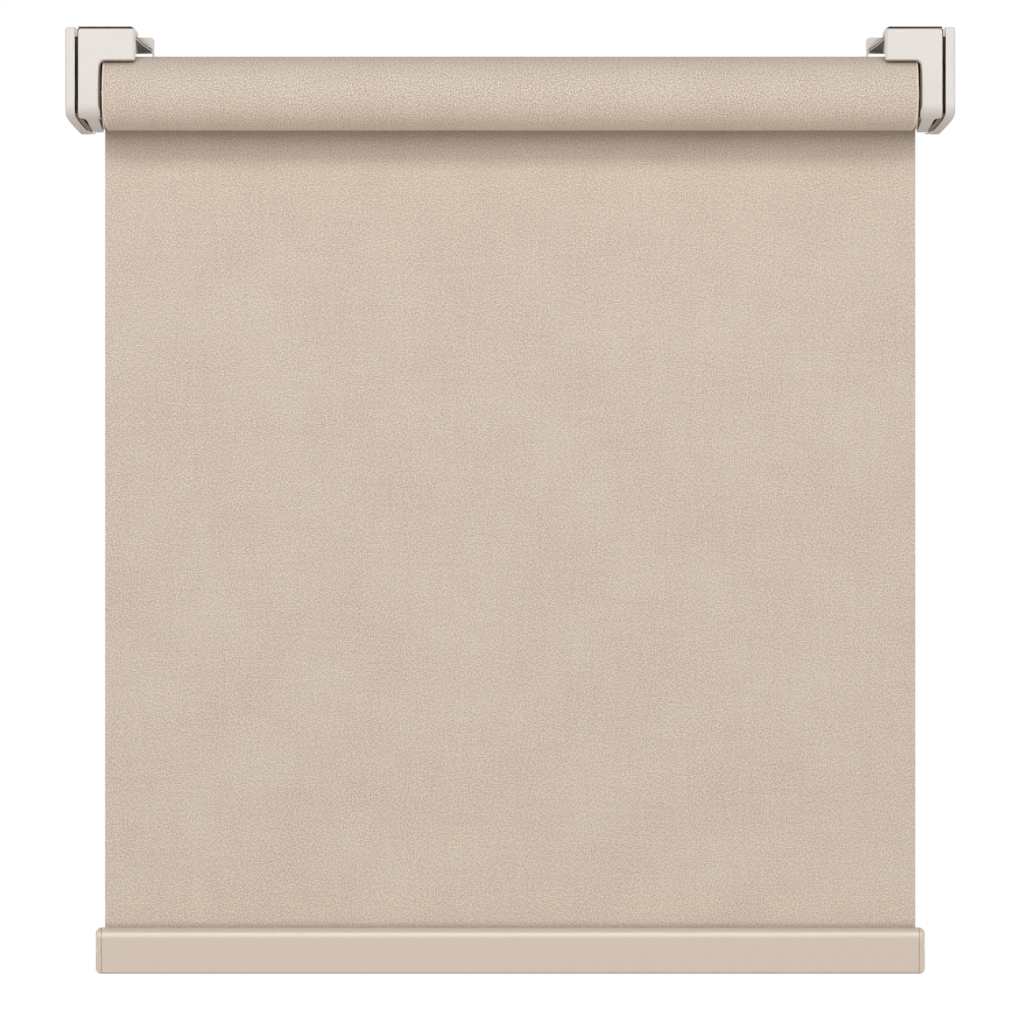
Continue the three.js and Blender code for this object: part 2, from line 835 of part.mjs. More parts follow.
function endCap() {
  const options = { facets: ellipseFacets };
  const top = bracketTop - capTopDrop;
  const band = prismY(capBand(0, capInnerX), -bracketProjection, 0, options);
  const innerX = capInnerX - capTuck - cutOverrun;
  const innerBand = prismY(capBand(capWall, innerX), -bracketProjection, -capWall, options);
  const shell = sideSolid(0, top, capBottomDrop, capEdgeRadius).intersect(band);
  const hollow = sideSolid(capWall, top, capBottomDrop).intersect(innerBand);
  const tabFront = capTabSetback - bracketProjection;
  const tabTop = top - capTabDrop;
  const tab = rectangle(tabFront, tabFront + capTabDepth, top - capTabHeight, tabTop);
  let body = shell.subtract(hollow).add(prismX(tab, armOuterX + seatGap, halfWidth - capWall / 2));
  for (const height of prongHeights) {
    body = body.add(prong(height));
  }
  return body;
}

// A springy prong with a hooked end that holds the cap to the arm's outer wall
function prong(height) {
  const front = prongSetback - bracketProjection;
  const tipX = armOuterX - prongLength;
  const low = height - prongThickness / 2;
  const high = height + prongThickness / 2;
  const hookX = armOuterX - bracketWall - seatGap;
  const outline = roundedOutline([
    [halfWidth - capWall / 2, low, 0],
    [halfWidth - capWall / 2, high, 0],
    [hookX, high, 0],
    [hookX, high + prongHook, 0],
    [tipX, high - prongHook, 0],
    [tipX, low, 0],
  ]);
  return prismY(outline, front, front + prongHeight);
}

// Round bush in the left arm for the idle pin, drawn on the right side
function pinSeat(bore) {
  const flangeStart = armInnerX + bracketWall + seatGap;
  return turned([
    [armInnerX, bore],
    [flangeStart + seatFlange, bore],
    [flangeStart + seatFlange, seatFlangeRadius],
    [flangeStart, seatFlangeRadius],
    [flangeStart, seatBarrelRadius],
    [armInnerX, seatBarrelRadius],
  ]);
}

// Slotted seat in the right arm that keeps the tongue from turning
function tongueSeat() {
  const flangeStart = armInnerX + bracketWall + seatGap;
  const slot = rectangle(
    -axisToWall - tongueThickness / 2 - seatGap,
    -axisToWall + tongueThickness / 2 + seatGap,
    -tongueHeight / 2 - seatGap,
    tongueHeight / 2 + seatGap,
  );
  return rod(armInnerX, flangeStart, seatBarrelRadius)
    .add(rod(flangeStart, flangeStart + seatFlange, seatFlangeRadius))
    .subtract(prismX(slot, armInnerX - cutOverrun, flangeStart + seatFlange + cutOverrun));
}

// Tube with a groove along its top that keys the plugs and holds the fixing tape
function keyOutline(width, depth) {
  const back = width / 2 - axisToWall;
  return rectangle(back - width, back, tubeRadius - depth, tubeRadius + cutOverrun);
}

function rollerTube() {
  const end = crownInnerX - seatGap;
  const disc = rod(-end, end, tubeRadius, tubeFacets);
  const bore = rod(-end - cutOverrun, end + cutOverrun, tubeInnerRadius, tubeFacets);
  const key = prismX(keyOutline(keyWidth, keyDepth), -end, end).intersect(disc);
  const groove = prismX(keyOutline(grooveWidth, grooveDepth), -end - cutOverrun, end + cutOverrun);
  return disc.subtract(bore).add(key).subtract(groove);
}

function fixingTape() {
  const low = tubeRadius - grooveDepth + seatGap;
  const width = grooveWidth - 2 * seatGap;
  const outline = rectangle(-axisToWall - width / 2, -axisToWall + width / 2, low, low + tapeThickness);
  return prismX(outline, seatGap - crownInnerX, crownInnerX - seatGap);
}

// The slot in a plug that clears the tube's key
function keyway(fromX, toX) {
  return prismX(keyOutline(keyWidth + 2 * seatGap, keyDepth + seatGap), fromX, toX);
}

function crownShell(bossRadius, bossLength, floorLength) {
  const barrelEnd = crownInnerX - crownDepth;
  const ribLength = bossLength * crownRibLengthShare;
  const shell = turned([
    [halfFabric, 0],
    [halfFabric, tubeRadius],
    [crownInnerX, tubeRadius],
    [crownInnerX, plugRadius],
    [barrelEnd, plugRadius],
    [barrelEnd, plugRadius - crownWall],
    [webInnerX, plugRadius - crownWall],
    [webInnerX, bossRadius],
    [webInnerX - bossLength, bossRadius],
    [webInnerX - bossLength - floorLength, bossRadius],
    [webInnerX - bossLength - floorLength, 0],
  ]);
  let body = shell;
  const ribRoot = bossRadius - pinBossWall / 2;
  const ribTip = plugRadius - crownWall / 2;
  const rib = rectangle(ribRoot, ribTip, -crownRibWidth / 2, crownRibWidth / 2);
  for (let i = 0; i < crownRibs; i += 1) {
    const angle = (360 * (i + crownRibTurnShare)) / crownRibs;
    const web = prismX(rib, webInnerX - ribLength + crownWeb / 2, webInnerX + crownWeb / 2);
    body = body.add(web.rotate([angle, 0, 0]).translate([0, -axisToWall, 0]));
  }
  return body.subtract(keyway(barrelEnd - cutOverrun, crownInnerX));
}

function idleCrown() {
  const bore = pinCollarRadius + seatGap;
  const boreEnd = webInnerX - pinBoreDepth;
  return crownShell(bore + pinBossWall, pinBoreDepth, pinBossWall)
    .subtract(rod(boreEnd, webInnerX, bore))
    .subtract(rod(boreEnd, halfFabric + cutOverrun, pinRadius + seatGap));
}

function idlePin() {
  const collarFace = webInnerX - seatGap;
  const collarBack = collarFace - pinCollarWidth;
  return turned([
    [pinTipX, 0],
    [pinTipX, pinRadius - pinTipChamfer],
    [pinTipX - pinTipChamfer, pinRadius],
    [collarFace, pinRadius],
    [collarFace, pinCollarRadius],
    [collarBack, pinCollarRadius],
    [collarBack, pinTailRadius],
    [collarBack - pinTailLength, pinTailRadius],
    [collarBack - pinTailLength, 0],
  ], pinFacets);
}

function idlePinSpring() {
  const meanRadius = pinCollarRadius - pinSpringWire;
  const front = webInnerX - pinCollarWidth - 2 * seatGap;
  return coil(webInnerX - pinBoreDepth + seatGap, front, meanRadius, pinSpringWire, pinSpringTurns);
}

// The places along the shaft, from the tongue inwards
const shaftStartX = halfFabric + tongueStart;
const drumEndX = webInnerX - crownHubLength - seatGap;
const anchorFlangeX = drumEndX - drumLength;
const springStartX = anchorFlangeX - anchorFlange - seatGap;
const springEndX = springStartX - springLength;
const carrierFaceX = springEndX - seatGap;
const carrierBackX = carrierFaceX - carrierLength;
const clipFaceX = carrierBackX - seatGap;
const clipBackX = clipFaceX - clipThickness;
const hubRadius = springMeanRadius * coilChordShare - springWire / 2 - seatGap;

function springEndCrown() {
  return crownShell(crownHubRadius, crownHubLength, 0)
    .subtract(rod(webInnerX - crownHubLength - cutOverrun, halfFabric + cutOverrun, shaftRadius + seatGap));
}

// Shaft with a clip groove near its inner end and a flat tongue at its outer end
function springShaft() {
  const back = clipBackX - seatGap - shaftTail;
  const grooveRadius = shaftRadius - shaftGrooveDepth;
  const body = turned([
    [shaftStartX, 0],
    [shaftStartX, shaftRadius],
    [clipFaceX + seatGap, shaftRadius],
    [clipFaceX + seatGap, grooveRadius],
    [clipBackX - seatGap, grooveRadius],
    [clipBackX - seatGap, shaftRadius],
    [back, shaftRadius],
    [back, 0],
  ], pinFacets);
  const tongue = rectangle(
    -axisToWall - tongueThickness / 2,
    -axisToWall + tongueThickness / 2,
    -tongueHeight / 2,
    tongueHeight / 2,
    tongueCornerRadius,
  );
  return body.add(prismX(tongue, shaftStartX - tongueStart / 2, pinTipX));
}

// Plug fixed on the shaft: the brake's drum, a flange and the hub of the spring's still end
function springAnchor() {
  const hubEnd = springStartX - springOnHub;
  const body = turned([
    [drumEndX, 0],
    [drumEndX, drumRadius],
    [anchorFlangeX, drumRadius],
    [anchorFlangeX, anchorFlangeRadius],
    [anchorFlangeX - anchorFlange, anchorFlangeRadius],
    [anchorFlangeX - anchorFlange, hubRadius],
    [hubEnd, hubRadius],
    [hubEnd, 0],
  ]);
  return body.subtract(rod(hubEnd - cutOverrun, drumEndX + cutOverrun, shaftRadius + seatGap));
}

function brakeSpring() {
  const meanRadius = (drumRadius + seatGap + brakeWire / 2) / coilChordShare;
  const start = anchorFlangeX + brakeLength;
  return coil(start, start + brakeLength, meanRadius, brakeWire, brakeTurns);
}

function torsionSpring() {
  return coil(springEndX, springStartX, springMeanRadius, springWire, springTurns);
}

// Plug that turns with the tube and winds the spring's other end
function springCarrier() {
  const hubEnd = carrierFaceX + springOnHub + seatGap;
  const bore = shaftRadius + seatGap;
  const recess = carrierLength - carrierHubWall;
  const body = turned([
    [hubEnd, 0],
    [hubEnd, hubRadius],
    [carrierFaceX, hubRadius],
    [carrierFaceX, plugRadius],
    [carrierBackX, plugRadius],
    [carrierBackX, plugRadius - crownWall],
    [carrierBackX + recess, plugRadius - crownWall],
    [carrierBackX + recess, bore + carrierHubWall],
    [carrierBackX, bore + carrierHubWall],
    [carrierBackX, 0],
  ]);
  return body
    .subtract(rod(carrierBackX - cutOverrun, hubEnd + cutOverrun, bore))
    .subtract(keyway(carrierBackX - cutOverrun, carrierFaceX + seatGap));
}

// Spring clip with an open mouth, pushed into the shaft's groove
function shaftClip() {
  const bore = shaftRadius - shaftGrooveDepth + seatGap;
  const back = clipMouth / 2 - axisToWall;
  const mouth = rectangle(back - clipMouth, back, 0, clipRadius + cutOverrun);
  return rod(clipBackX, clipFaceX, clipRadius)
    .subtract(rod(clipBackX - cutOverrun, clipFaceX + cutOverrun, bore))
    .subtract(prismX(mouth, clipBackX - cutOverrun, clipFaceX + cutOverrun));
}

// Wound fabric: its outer turn grows by one thickness and ends where the drop leaves the roll
function fabricRoll() {
  const step = fabricThickness + seatGap;
  const turnShares = Array.from({ length: rollFacets + 1 }, (_, i) => i / rollFacets);
  const shape = polygon(turnShares.map((share) => {
    const radius = rollRadius - step * share;
    const angle = 2 * Math.PI * share;
    return [radius * Math.cos(angle) - axisToWall, radius * Math.sin(angle)];
  }));
  const core = rod(-halfFabric - cutOverrun, halfFabric + cutOverrun, tubeRadius + seatGap, tubeFacets);
  return prismX(shape, -halfFabric, halfFabric).subtract(core);
}

function fabricDrop() {
  const bottom = channelZ + splineRadius + seatGap;
  return prismX(rectangle(dropFrontY, dropBackY, bottom, -seatGap), -halfFabric, halfFabric);
}

// The rail's outline seen from its end
function railOutline(inset) {
  return roundedOutline([
    [-railFront + inset, railTopZ - inset, railTopRadius],
    [-railFront + inset, railBottomZ + inset, railCornerRadius],
    [-railBack - inset, railBottomZ + inset, railCornerRadius],
    [-railBack - inset, railTopZ - inset, railCornerRadius],
  ]);
}

// The rail's long hollow, beside and below the fabric channel
function railHollow(inset) {
  const channelSide = dropMiddleY - railChannelRadius - railWall;
  const channelFoot = channelZ - railChannelRadius - railWall;
  const radius = railHollowRadius;
  return roundedOutline([
    [-railFront + railWall + inset, railTopZ - railWall - inset, railTopRadius - railWall - inset],
    [-railFront + railWall + inset, railBottomZ + railWall + inset, radius],
    [-railBack - railWall - inset, railBottomZ + railWall + inset, radius],
    [-railBack - railWall - inset, channelFoot - inset, radius],
    [channelSide - inset, channelFoot - inset, radius],
    [channelSide - inset, railTopZ - railWall - inset, radius],
  ]);
}

function bottomRail() {
  const slotHalf = fabricThickness / 2 + railSlotClearance;
  const slot = rectangle(dropMiddleY - slotHalf, dropMiddleY + slotHalf, channelZ, railTopZ + cutOverrun);
  const channel = circle(dropMiddleY, channelZ, railChannelRadius, pinFacets);
  const long = halfRail + cutOverrun;
  return prismX(railOutline(0), -halfRail, halfRail, { facets: railFacets })
    .subtract(prismX(railHollow(0), -long, long))
    .subtract(prismX(channel, -long, long))
    .subtract(prismX(slot, -long, long));
}

function hemSpline() {
  return prismX(circle(dropMiddleY, channelZ, splineRadius, pinFacets), -halfFabric, halfFabric);
}

// Cap for the rail's right end: a plate with rounded outer corners and a plug in the rail's hollow
function railCap() {
  const start = halfRail + seatGap;
  const end = start + railCapThickness;
  const face = roundedOutline([
    [start - cutOverrun, railTopZ, 0],
    [end, railTopZ, railCapCornerRadius],
    [end, railBottomZ, railCapCornerRadius],
    [start - cutOverrun, railBottomZ, 0],
  ]);
  const options = { facets: railFacets };
  const outline = railOutline(0);
  const plate = prismX(outline, start - cutOverrun, end, { ...options, bevel: railCapEdgeRadius })
    .intersect(prismX(outline, start, end, options))
    .intersect(prismY(face, -railFront, 0, options));
  return plate.add(prismX(railHollow(seatGap), start - railPlugLength, start + railCapThickness / 2));
}

// Materials, in the colours of the photograph
function finish(color, roughness, metalness = 0) {
  return new THREE.MeshStandardMaterial({ color, roughness, metalness });
}

const bracketPlastic = finish(0xe8e2dd, 0.45);
const beigeFabric = finish(0xcfc0b1, 0.95);
const railPaint = finish(0xd2c4b5, 0.4);
const innerPlastic = finish(0xf0eeea, 0.5);
const aluminium = finish(0xc4c6c8, 0.35, 1);
const steel = finish(0x9a9c9e, 0.35, 1);
const tapePlastic = finish(0xe6e2d4, 0.7);

const blind = new THREE.Group();

function place(name, geometry, material) {
  const mesh = new THREE.Mesh(geometry, material);
  mesh.name = name;
  blind.add(mesh);
}

function placePair(leftName, rightName, geometry, material) {
  place(rightName, geometry, material);
  place(leftName, mirrored(geometry), material);
}

placePair("left_bracket", "right_bracket", geometryOf(bracket()), bracketPlastic);
placePair("left_front_cover", "right_front_cover", geometryOf(frontCover()), bracketPlastic);
placePair("left_end_cap", "right_end_cap", geometryOf(endCap()), bracketPlastic);
place("idle_pin_seat", mirrored(geometryOf(pinSeat(pinRadius + seatGap))), innerPlastic);
place("tongue_seat", geometryOf(tongueSeat()), innerPlastic);

place("roller_tube", geometryOf(rollerTube()), aluminium);
place("fixing_tape", geometryOf(fixingTape()), tapePlastic);
place("fabric_roll", geometryOf(fabricRoll()), beigeFabric);
place("idle_crown", mirrored(geometryOf(idleCrown())), innerPlastic);
place("idle_pin", mirrored(geometryOf(idlePin())), steel);
place("idle_pin_spring", mirrored(idlePinSpring()), steel);
place("spring_end_crown", geometryOf(springEndCrown()), innerPlastic);
place("spring_shaft", geometryOf(springShaft()), steel);
place("spring_anchor", geometryOf(springAnchor()), innerPlastic);
place("brake_spring", brakeSpring(), steel);
place("torsion_spring", torsionSpring(), steel);
place("spring_carrier", geometryOf(springCarrier()), innerPlastic);
place("shaft_clip", geometryOf(shaftClip()), steel);

place("fabric_drop", geometryOf(fabricDrop()), beigeFabric);
place("bottom_rail", geometryOf(bottomRail()), railPaint);
place("hem_spline", geometryOf(hemSpline()), tapePlastic);
placePair("rail_cap_left", "rail_cap_right", geometryOf(railCap()), railPaint);

export default blind;
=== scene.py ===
"""Looks of a cordless blackout roller blind: cloth, moulded brackets, painted bar, light and camera."""

import json
import math

import bmesh
import bpy
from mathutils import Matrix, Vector, noise
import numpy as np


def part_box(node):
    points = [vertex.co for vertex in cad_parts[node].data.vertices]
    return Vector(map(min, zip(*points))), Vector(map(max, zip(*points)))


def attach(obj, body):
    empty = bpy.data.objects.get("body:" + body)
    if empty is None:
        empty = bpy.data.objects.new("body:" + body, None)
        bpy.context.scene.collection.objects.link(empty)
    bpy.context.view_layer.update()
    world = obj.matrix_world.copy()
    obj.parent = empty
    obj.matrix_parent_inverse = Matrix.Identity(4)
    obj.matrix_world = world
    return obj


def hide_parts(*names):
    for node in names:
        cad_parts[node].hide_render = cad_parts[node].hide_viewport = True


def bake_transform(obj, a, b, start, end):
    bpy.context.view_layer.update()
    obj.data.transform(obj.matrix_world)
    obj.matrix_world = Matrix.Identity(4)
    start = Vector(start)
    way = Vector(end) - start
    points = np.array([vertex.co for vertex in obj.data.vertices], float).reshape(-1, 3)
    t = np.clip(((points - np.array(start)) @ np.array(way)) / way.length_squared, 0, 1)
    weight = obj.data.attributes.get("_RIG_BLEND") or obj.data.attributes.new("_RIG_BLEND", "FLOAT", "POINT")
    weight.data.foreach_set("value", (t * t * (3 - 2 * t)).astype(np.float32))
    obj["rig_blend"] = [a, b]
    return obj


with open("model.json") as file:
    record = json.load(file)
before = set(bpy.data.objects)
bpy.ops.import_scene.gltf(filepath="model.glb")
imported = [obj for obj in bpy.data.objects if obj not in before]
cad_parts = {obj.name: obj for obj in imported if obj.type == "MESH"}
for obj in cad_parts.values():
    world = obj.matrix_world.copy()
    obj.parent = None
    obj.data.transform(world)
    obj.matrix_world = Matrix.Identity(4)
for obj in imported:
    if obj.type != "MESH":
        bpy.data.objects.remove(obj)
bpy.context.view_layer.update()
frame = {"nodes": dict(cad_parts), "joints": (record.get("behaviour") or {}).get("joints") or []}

MM = 0.001

# Camera, facing the wall squarely
CAMERA_PLACE = (1.2 * MM, -6114.5 * MM, -282.9 * MM)
CAMERA_LENS = 316.4
SENSOR_WIDTH = 36.0
CLIP_END = 60.0

# Floor, far below the blind
FLOOR_HALF = 20.0
FLOOR_HEIGHT = -2.15
FLOOR_CLOUD_SCALE = 3
FLOOR_ROUGHNESS = 0.7
FLOOR_WHITE_SHARE = 0.7

# Colours as linear red, green and blue
PLASTIC = (0.824, 0.796, 0.774)
PLASTIC_SPECK = (0.620, 0.570, 0.530)
# Painted shade: browner tones mixed into the plastic where it is closed in, on the brackets' arms, under the
# gussets and deepest in crevices
PLASTIC_SHADE = (0.310, 0.245, 0.185)
ARM_SHADE = (0.330, 0.262, 0.200)
GUSSET_SHADE = (0.190, 0.145, 0.105)
CREVICE_SHADE = (0.440, 0.340, 0.250)
CLOTH_LIGHT = (0.925, 0.868, 0.745)
CLOTH_DARK = (0.430, 0.300, 0.250)
# Painted shade on the cloth where it is closed in, as under the roll
CLOTH_SHADE = (0.250, 0.190, 0.140)
CLOTH_EDGE = (0.960, 0.870, 0.760)
# Painted shade: near black on the drawn-in part of the roll's ends
CLOTH_END_SHADE = (0.020, 0.013, 0.008)
RAIL = (0.712, 0.614, 0.522)
# Painted shade in the bar's seams
RAIL_SEAM_SHADE = (0.260, 0.175, 0.105)
WHITE_PLASTIC = (0.780, 0.770, 0.740)
TUBE_METAL = (0.620, 0.625, 0.630)
SPRING_METAL = (0.360, 0.370, 0.380)
FLOOR = (0.900, 0.895, 0.885)

# Light: the room is brightest ahead and a little above
KEY_PLACE = (-0.1, -2.6, 0.8)
KEY_SIZE = (1.3, 1.3)
KEY_POWER = 16.2
TOP_PLACE = (0, -1.7, 1.1)
TOP_SIZE = (2.4, 0.35)
TOP_POWER = 13.4
LOW_PLACE = (0, -2.3, -1.9)
LOW_SIZE = (2.0, 1.0)
LOW_POWER = 13.2
LOW_COLOUR = (1.0, 0.84, 0.68)
EDGE_PLACE = (2.7, -0.9, -0.1)
EDGE_SIZE = (0.3, 1.8)
EDGE_POWER = 12
NEUTRAL = (1.0, 1.0, 1.0)
LIGHT_AIM = (0, 0, -0.25)
ROOM_BRIGHT_SIDE = (0, -0.966, 0.259)
ROOM_FADE_START = -0.3
ROOM_DIM = (0.27, 0.25, 0.23)
ROOM_BRIGHT = (0.332, 0.327, 0.322)

# What the materials share: parts of a noise's range, and tones a little off a colour
SOFT_RANGE = (0.35, 0.65)
FINE_RANGE = (0.3, 0.7)
DARKER_SHARE = 0.985
LIGHTER_SHARE = 1.015

# Moulded plastic, with noise scales in turns per metre
PLASTIC_CLOUD_SCALE = 35
PLASTIC_SPECK_SCALE = 2600
PLASTIC_SPECK_SHARE = 0.05
PLASTIC_SKIN_SCALE = 3200
PLASTIC_SKIN_SHARE = 0.35
PLASTIC_GLOSS_SCALE = 900
PLASTIC_ROUGHNESS = (0.36, 0.46)
PLASTIC_IOR = 1.46
SKIN_DEPTH = 0.02 * MM
# Reach and range of the painted shade where the plastic is closed in
GAP_REACH = 9 * MM
GAP_RANGE = (0.24, 0.55)
GAP_SHARE = 0.9
CREVICE_REACH = 26 * MM
CREVICE_RANGE = (0.74, 0.93)
CREVICE_SAMPLES = 16

# Shaded places on the brackets' arms and gussets
ARM_START = 266 * MM
ARM_BACK = -10 * MM
ARM_TOP = 2 * MM
ARM_FADE = 4 * MM
GUSSET_SIDE = 252.7 * MM
GUSSET_BACK = -3 * MM
GUSSET_FADE = 0.3 * MM
GUSSET_FACING = (-0.2, -0.6)

# Cloth
GRAIN_SCALE = 1080
GRAIN_RANGE = 0.42
GRAIN_DEPTH = 0.10 * MM
GRAIN_RELIEF_SHARE = 0.6
ROLL_GRAIN_STRENGTH = 1.35
SLUB_LONG = 25
SLUB_FINE = 240
SLUB_RANGE = (0.35, 0.7)
SLUB_SHARE = 0.07
CLOTH_CLOUD_SCALE = 16
CLOTH_CLOUD_SHARE = 0.10
# Reach and range of the painted shade where the cloth is closed in
CLOTH_GAP_REACH = 24 * MM
CLOTH_GAP_RANGE = (0.2, 0.6)
CLOTH_GAP_SHARE = 0.5
CLOTH_ROUGHNESS = 0.86
CLOTH_SHEEN = 0.12
CLOTH_SHEEN_ROUGHNESS = 0.5
CLOTH_SPECULAR = 0.25

# Painted bar
RAIL_MOTTLE_SCALE = 220
RAIL_CLOUD_SCALE = 30
RAIL_CLOUD_SHARE = 0.25
RAIL_CLOUD_TONE_SHARE = 0.97
# Reach and range of the painted shade in the bar's seams
RAIL_SEAM_REACH = 1.2 * MM
RAIL_SEAM_RANGE = (0.45, 0.8)
RAIL_SKIN_SCALE = 1500
RAIL_SKIN_SHARE = 0.4
RAIL_GLOSS_SCALE = 500
RAIL_ROUGHNESS = (0.19, 0.25)
RAIL_IOR = 1.7
CROWN_HEIGHT = 8.2 * MM
CROWN_RADIUS = 15 * MM

# Plugs, tube and springs inside
PLUG_CLOUD_SCALE = 60
PLUG_CLOUD_TONE_SHARE = 0.96
PLUG_SKIN_SCALE = 2400
PLUG_SKIN_SHARE = 0.3
PLUG_GLOSS_SCALE = 700
PLUG_ROUGHNESS = (0.42, 0.52)
TUBE_STREAKS = (6, 900, 900)
TUBE_ROUGHNESS = 0.32
SPRING_STREAKS = (700, 700, 700)
SPRING_ROUGHNESS = 0.3
STREAK_TONE_SHARE = 0.9
STREAK_DEPTH = 0.01 * MM
STREAK_RELIEF_SHARE = 0.4
STREAK_ROUGHNESS = 0.12

# Shape of the roll
ROLL_ANGLES = 180
ROLL_STATIONS = 28
RINGS_PER_TURN = 4
RIM_STEPS = 3
TURN_GROOVE = 0.13 * MM
GROOVE_CURVE = 3
CORE_GAP = 0.3 * MM
ROLL_EDGE = 0.3 * MM
ROLL_WAVE = 0.08 * MM
ROLL_WAVE_SIZE = 60 * MM
ROLL_SHARP_ANGLE = math.radians(50)
SELVAGE = 0.8 * MM
ROLL_DRAW_BELOW = 3.4 * MM
ROLL_DRAW_ABOVE = 1.0 * MM
ROLL_DRAW_START = math.radians(30)
ROLL_DRAW_CURVE = 0.8
END_DISH = 14
# Painted shade on the drawn-in part of the roll's ends
END_SHADE_CURVE = 3

# Shape of the hanging sheet
SHEET_COLUMNS = 72
SHEET_ROWS = 200
SHEET_TUCK = 12 * MM
SHEET_LEAN = 0.35 * MM
SHEET_WAVE = 0.45 * MM
SHEET_WAVE_SIZE = 120 * MM
SHEET_WAVE_FADE = 60 * MM
BLEND_ABOVE = 20 * MM
BLEND_BELOW = 20 * MM

# Edges of the rigid pieces
WELD = 0.004 * MM
FLAT_ANGLE = math.radians(0.6)
SHARP_ANGLE = math.radians(32)
SMOOTH_ANGLE = math.radians(40)
BENT_CORNER = math.cos(math.radians(12))
ROUNDING_ROOM = 2.2
BRACKET_EDGE = 0.25 * MM
RAIL_EDGE = 0.2 * MM


# Node helpers


class Nodes:
    """A material's node tree with short calls for the nodes used here."""

    def __init__(self, name):
        self.material = bpy.data.materials.new(name)
        self.material.use_nodes = True
        self.tree = self.material.node_tree
        self.tree.nodes.clear()
        self.output = self.tree.nodes.new("ShaderNodeOutputMaterial")
        self.place = self.tree.nodes.new("ShaderNodeTexCoord").outputs["Object"]

    def link(self, source, target):
        self.tree.links.new(source, target)

    def add(self, kind, **values):
        node = self.tree.nodes.new(kind)
        for key, value in values.items():
            setattr(node, key, value)
        return node

    def feed(self, socket, value):
        """Links a socket to another one, or gives it a plain value."""
        if isinstance(value, bpy.types.NodeSocket):
            self.link(value, socket)
        else:
            socket.default_value = value

    def scaled(self, scale):
        """The place on the object, stretched along its axes."""
        node = self.add("ShaderNodeMapping")
        self.link(self.place, node.inputs["Vector"])
        node.inputs["Scale"].default_value = scale
        return node.outputs["Vector"]

    def noise(self, scale, detail=2.0, rough=0.5, stretch=(1, 1, 1)):
        node = self.add("ShaderNodeTexNoise")
        self.link(self.scaled(stretch), node.inputs["Vector"])
        node.inputs["Scale"].default_value = scale
        node.inputs["Detail"].default_value = detail
        node.inputs["Roughness"].default_value = rough
        return node.outputs["Fac"]

    def maths(self, operation, first, second=0.0):
        node = self.add("ShaderNodeMath", operation=operation)
        self.feed(node.inputs[0], first)
        self.feed(node.inputs[1], second)
        return node.outputs[0]

    def spread(self, value, low, high, to_low=0.0, to_high=1.0):
        """Brings a value from one range to another and stops at its ends."""
        node = self.add("ShaderNodeMapRange")
        self.feed(node.inputs["Value"], value)
        node.inputs["From Min"].default_value = low
        node.inputs["From Max"].default_value = high
        node.inputs["To Min"].default_value = to_low
        node.inputs["To Max"].default_value = to_high
        return node.outputs["Result"]

    def mix(self, share, first, second):
        node = self.add("ShaderNodeMix", data_type="RGBA")
        self.feed(node.inputs[0], share)
        for socket, value in ((node.inputs[6], first), (node.inputs[7], second)):
            self.feed(socket, (*value, 1.0) if isinstance(value, tuple) else value)
        return node.outputs[2]

    def axes(self, vector):
        """A vector's X, Y and Z."""
        node = self.add("ShaderNodeSeparateXYZ")
        self.link(vector, node.inputs[0])
        return node.outputs["X"], node.outputs["Y"], node.outputs["Z"]

    def bump(self, height, distance, strength=1.0, normal=None):
        node = self.add("ShaderNodeBump")
        node.inputs["Strength"].default_value = strength
        node.inputs["Distance"].default_value = distance
        self.link(height, node.inputs["Height"])
        if normal is not None:
            self.link(normal, node.inputs["Normal"])
        return node.outputs["Normal"]

    def closed_in(self, distance, samples=8):
        """How closed in a point is: 0 in the open and 1 deep in a gap."""
        node = self.add("ShaderNodeAmbientOcclusion", samples=samples)
        node.inputs["Distance"].default_value = distance
        return self.maths("SUBTRACT", 1.0, node.outputs["AO"])

    def surface(self, colour, roughness, normal=None, **fixed):
        """Finishes the material; what is the same all over is set on the shader's own sockets."""
        shader = self.add("ShaderNodeBsdfPrincipled")
        self.feed(shader.inputs["Base Color"], (*colour, 1.0) if isinstance(colour, tuple) else colour)
        self.feed(shader.inputs["Roughness"], roughness)
        if normal is not None:
            self.link(normal, shader.inputs["Normal"])
        for key, value in fixed.items():
            shader.inputs[key.replace("_", " ")].default_value = value
        self.link(shader.outputs["BSDF"], self.output.inputs["Surface"])
        return self.material


# Materials


def toned(colour, share):
    """A colour made a little darker or lighter."""
    return tuple(c * share for c in colour)


def moulded_plastic(name, shaded_arms=False):
    """Satin moulded plastic: pale grey-beige with a fine eroded skin, and painted shade, browner, where it
    is closed in.
    """
    n = Nodes(name)
    cloud = n.noise(PLASTIC_CLOUD_SCALE, detail=3)
    speck = n.noise(PLASTIC_SPECK_SCALE)
    tone = n.mix(n.spread(cloud, *SOFT_RANGE), toned(PLASTIC, DARKER_SHARE), PLASTIC)
    tone = n.mix(n.spread(speck, *FINE_RANGE, 0.0, PLASTIC_SPECK_SHARE), tone, PLASTIC_SPECK)
    # Painted shade: browner where the plastic is closed in
    gap = n.spread(n.closed_in(GAP_REACH), *GAP_RANGE, 0.0, GAP_SHARE)
    tone = n.mix(gap, tone, PLASTIC_SHADE)
    # Painted shade on the brackets' arms and under their gussets
    if shaded_arms:
        tone = n.mix(arm_shade(n), tone, ARM_SHADE)
        tone = n.mix(gusset_shade(n), tone, GUSSET_SHADE)
    # Painted shade: a darker brown deep in crevices
    crevice_shade = n.spread(n.closed_in(CREVICE_REACH, CREVICE_SAMPLES), *CREVICE_RANGE)
    tone = n.mix(crevice_shade, tone, CREVICE_SHADE)
    skin = n.bump(n.noise(PLASTIC_SKIN_SCALE), SKIN_DEPTH, PLASTIC_SKIN_SHARE)
    rough = n.spread(n.noise(PLASTIC_GLOSS_SCALE), *FINE_RANGE, *PLASTIC_ROUGHNESS)
    return n.surface(tone, rough, skin, IOR=PLASTIC_IOR)


